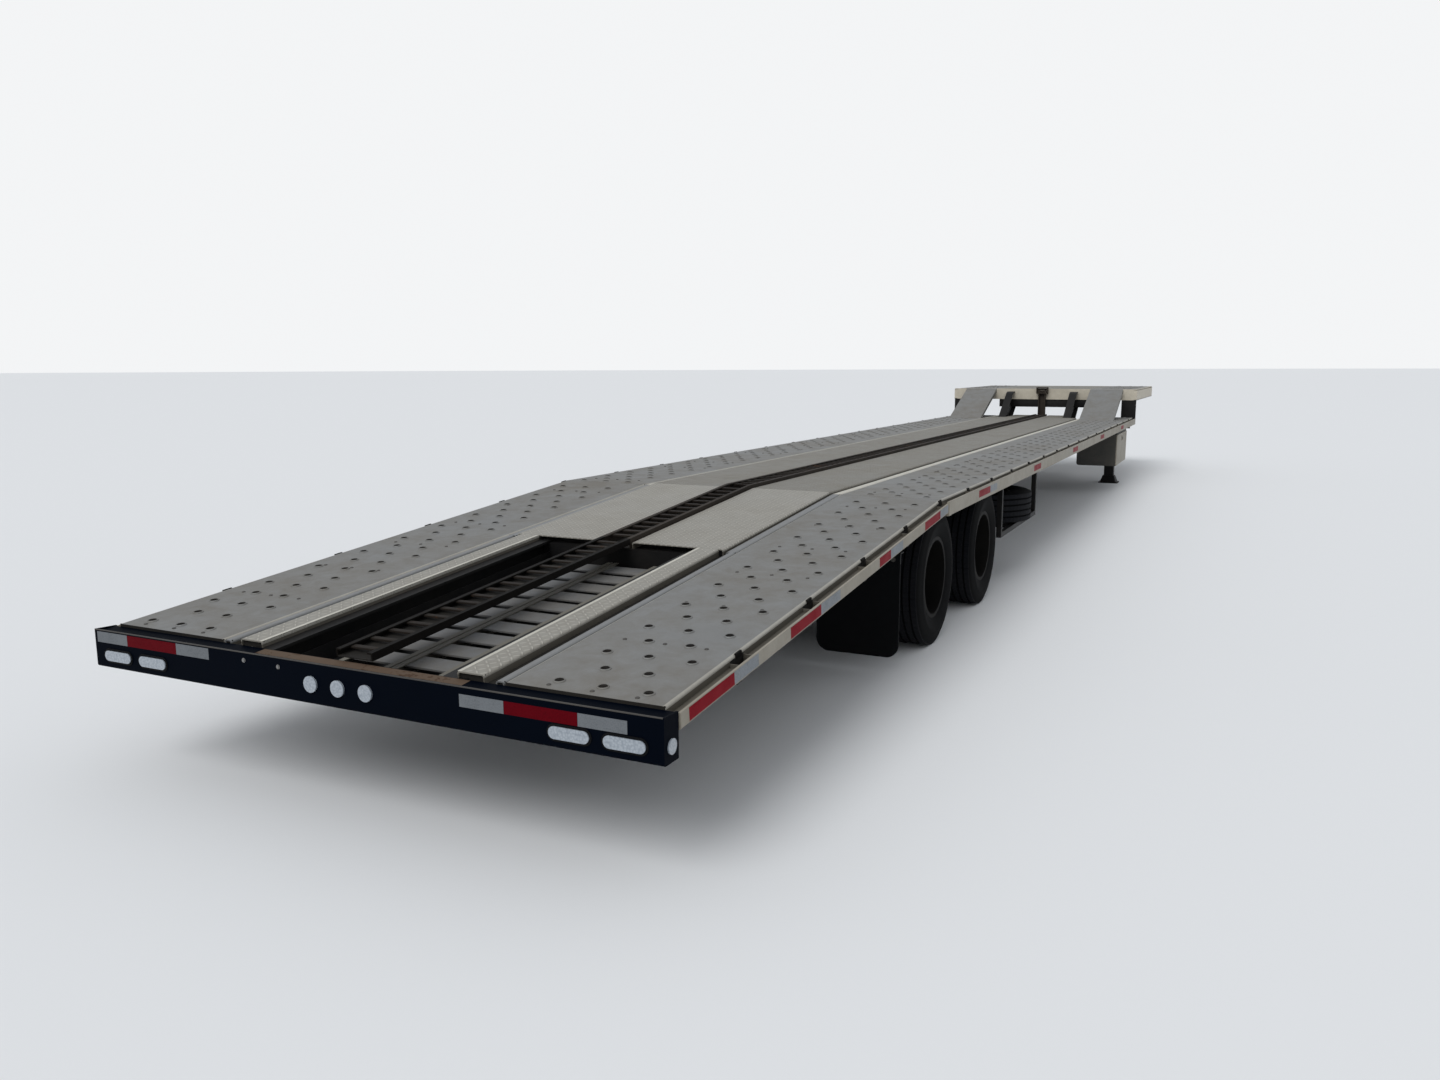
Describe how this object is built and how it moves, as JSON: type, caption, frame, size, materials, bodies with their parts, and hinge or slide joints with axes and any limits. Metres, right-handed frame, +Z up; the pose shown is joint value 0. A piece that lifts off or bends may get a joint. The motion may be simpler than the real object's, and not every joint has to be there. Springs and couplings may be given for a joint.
{
  "type": "car transporter semi-trailer",
  "caption": "Open drop-deck semi-trailer for carrying cars, with a slotted centre track, pierced runways, a sloping tail with stowed ladder ramps, tandem twin wheels and landing legs.",
  "frame": {"origin": "on the ground under the middle of the trailer's bounding box", "axes": "+Y forward to the kingpin end, +X to the trailer's right, +Z up"},
  "size_m": [2.59, 16.206, 1.282],
  "materials": {
    "runway_steel": "weathered galvanised",
    "deck_plate": "worn paint over chequer plate",
    "track_paint": "worn dark brown paint",
    "frame_paint": "black paint, dirty",
    "rail_paint": "beige paint",
    "sill_paint": "dark blue paint",
    "ramp_steel": "dull galvanised",
    "lamp_lens": "clear lens",
    "lamp_rubber": "black rubber",
    "tyre": "dusty black",
    "wheel_paint": "dark paint",
    "kingpin_steel": "greased steel",
    "foot_paint": "grey paint",
    "coupling_metal": "dull cast",
    "toolbox_paint": "dark grey paint",
    "toolbox_door_paint": "beige paint"
  },
  "bodies": {
    "chassis": {"axles": "frame_paint", "brake_chambers": "frame_paint", "centre_plates": "deck_plate", "centre_track": "track_paint", "climb_ramps": "runway_steel", "coupler_plate": "frame_paint", "crossmembers": "frame_paint", "deck_runways": "runway_steel", "flap_hangers": "frame_paint", "gooseneck": "rail_paint", "hose_couplings": "coupling_metal", "kingpin": "kingpin_steel", "lamp_grommets": "lamp_rubber", "lamp_socket": "coupling_metal", "landing_feet": "foot_paint", "landing_legs": "frame_paint", "leaf_springs": "frame_paint", "leg_bracing": "frame_paint", "loading_ramps": "ramp_steel", "main_beams": "frame_paint", "marker_lamps": "lamp_lens", "mud_flaps": "lamp_rubber", "outriggers": "frame_paint", "oval_lamps": "lamp_lens", "ramp_tray": "frame_paint", "rear_sill": "sill_paint", "side_rails": "rail_paint", "spare_carrier": "frame_paint", "spare_rim": "wheel_paint", "spare_tyre": "tyre", "spring_hangers": "frame_paint", "spring_seats": "frame_paint", "step_panels": "frame_paint", "toolbox_right": "toolbox_paint", "track_riser": "track_paint", "upper_centre_plate": "deck_plate", "upper_end_beams": "rail_paint", "upper_runways": "runway_steel", "well_strips": "deck_plate"},
    "wheels_rear_left": {"tyres_rear_left": "tyre", "wheel_rear_left": "wheel_paint"},
    "wheels_rear_right": {"tyres_rear_right": "tyre", "wheel_rear_right": "wheel_paint"},
    "wheels_front_left": {"tyres_front_left": "tyre", "wheel_front_left": "wheel_paint"},
    "wheels_front_right": {"tyres_front_right": "tyre", "wheel_front_right": "wheel_paint"},
    "toolbox_door": {"toolbox_door_right": "toolbox_door_paint"}
  },
  "joints": [
    {"name": "spin_rear_left", "type": "hinge", "parent": "chassis", "child": "wheels_rear_left", "pos_m": [0, -4.686, 0.394], "axis": [1, 0, 0], "continuous": true},
    {"name": "spin_rear_right", "type": "hinge", "parent": "chassis", "child": "wheels_rear_right", "pos_m": [0, -4.686, 0.394], "axis": [1, 0, 0], "continuous": true},
    {"name": "spin_front_left", "type": "hinge", "parent": "chassis", "child": "wheels_front_left", "pos_m": [0, -3.467, 0.394], "axis": [1, 0, 0], "continuous": true},
    {"name": "spin_front_right", "type": "hinge", "parent": "chassis", "child": "wheels_front_right", "pos_m": [0, -3.467, 0.394], "axis": [1, 0, 0], "continuous": true},
    {"name": "toolbox_door_hinge", "type": "hinge", "parent": "chassis", "child": "toolbox_door", "pos_m": [1.268, 4.2036, 0.345], "axis": [0, 1, 0], "range_deg": [0, 95]}
  ]
}
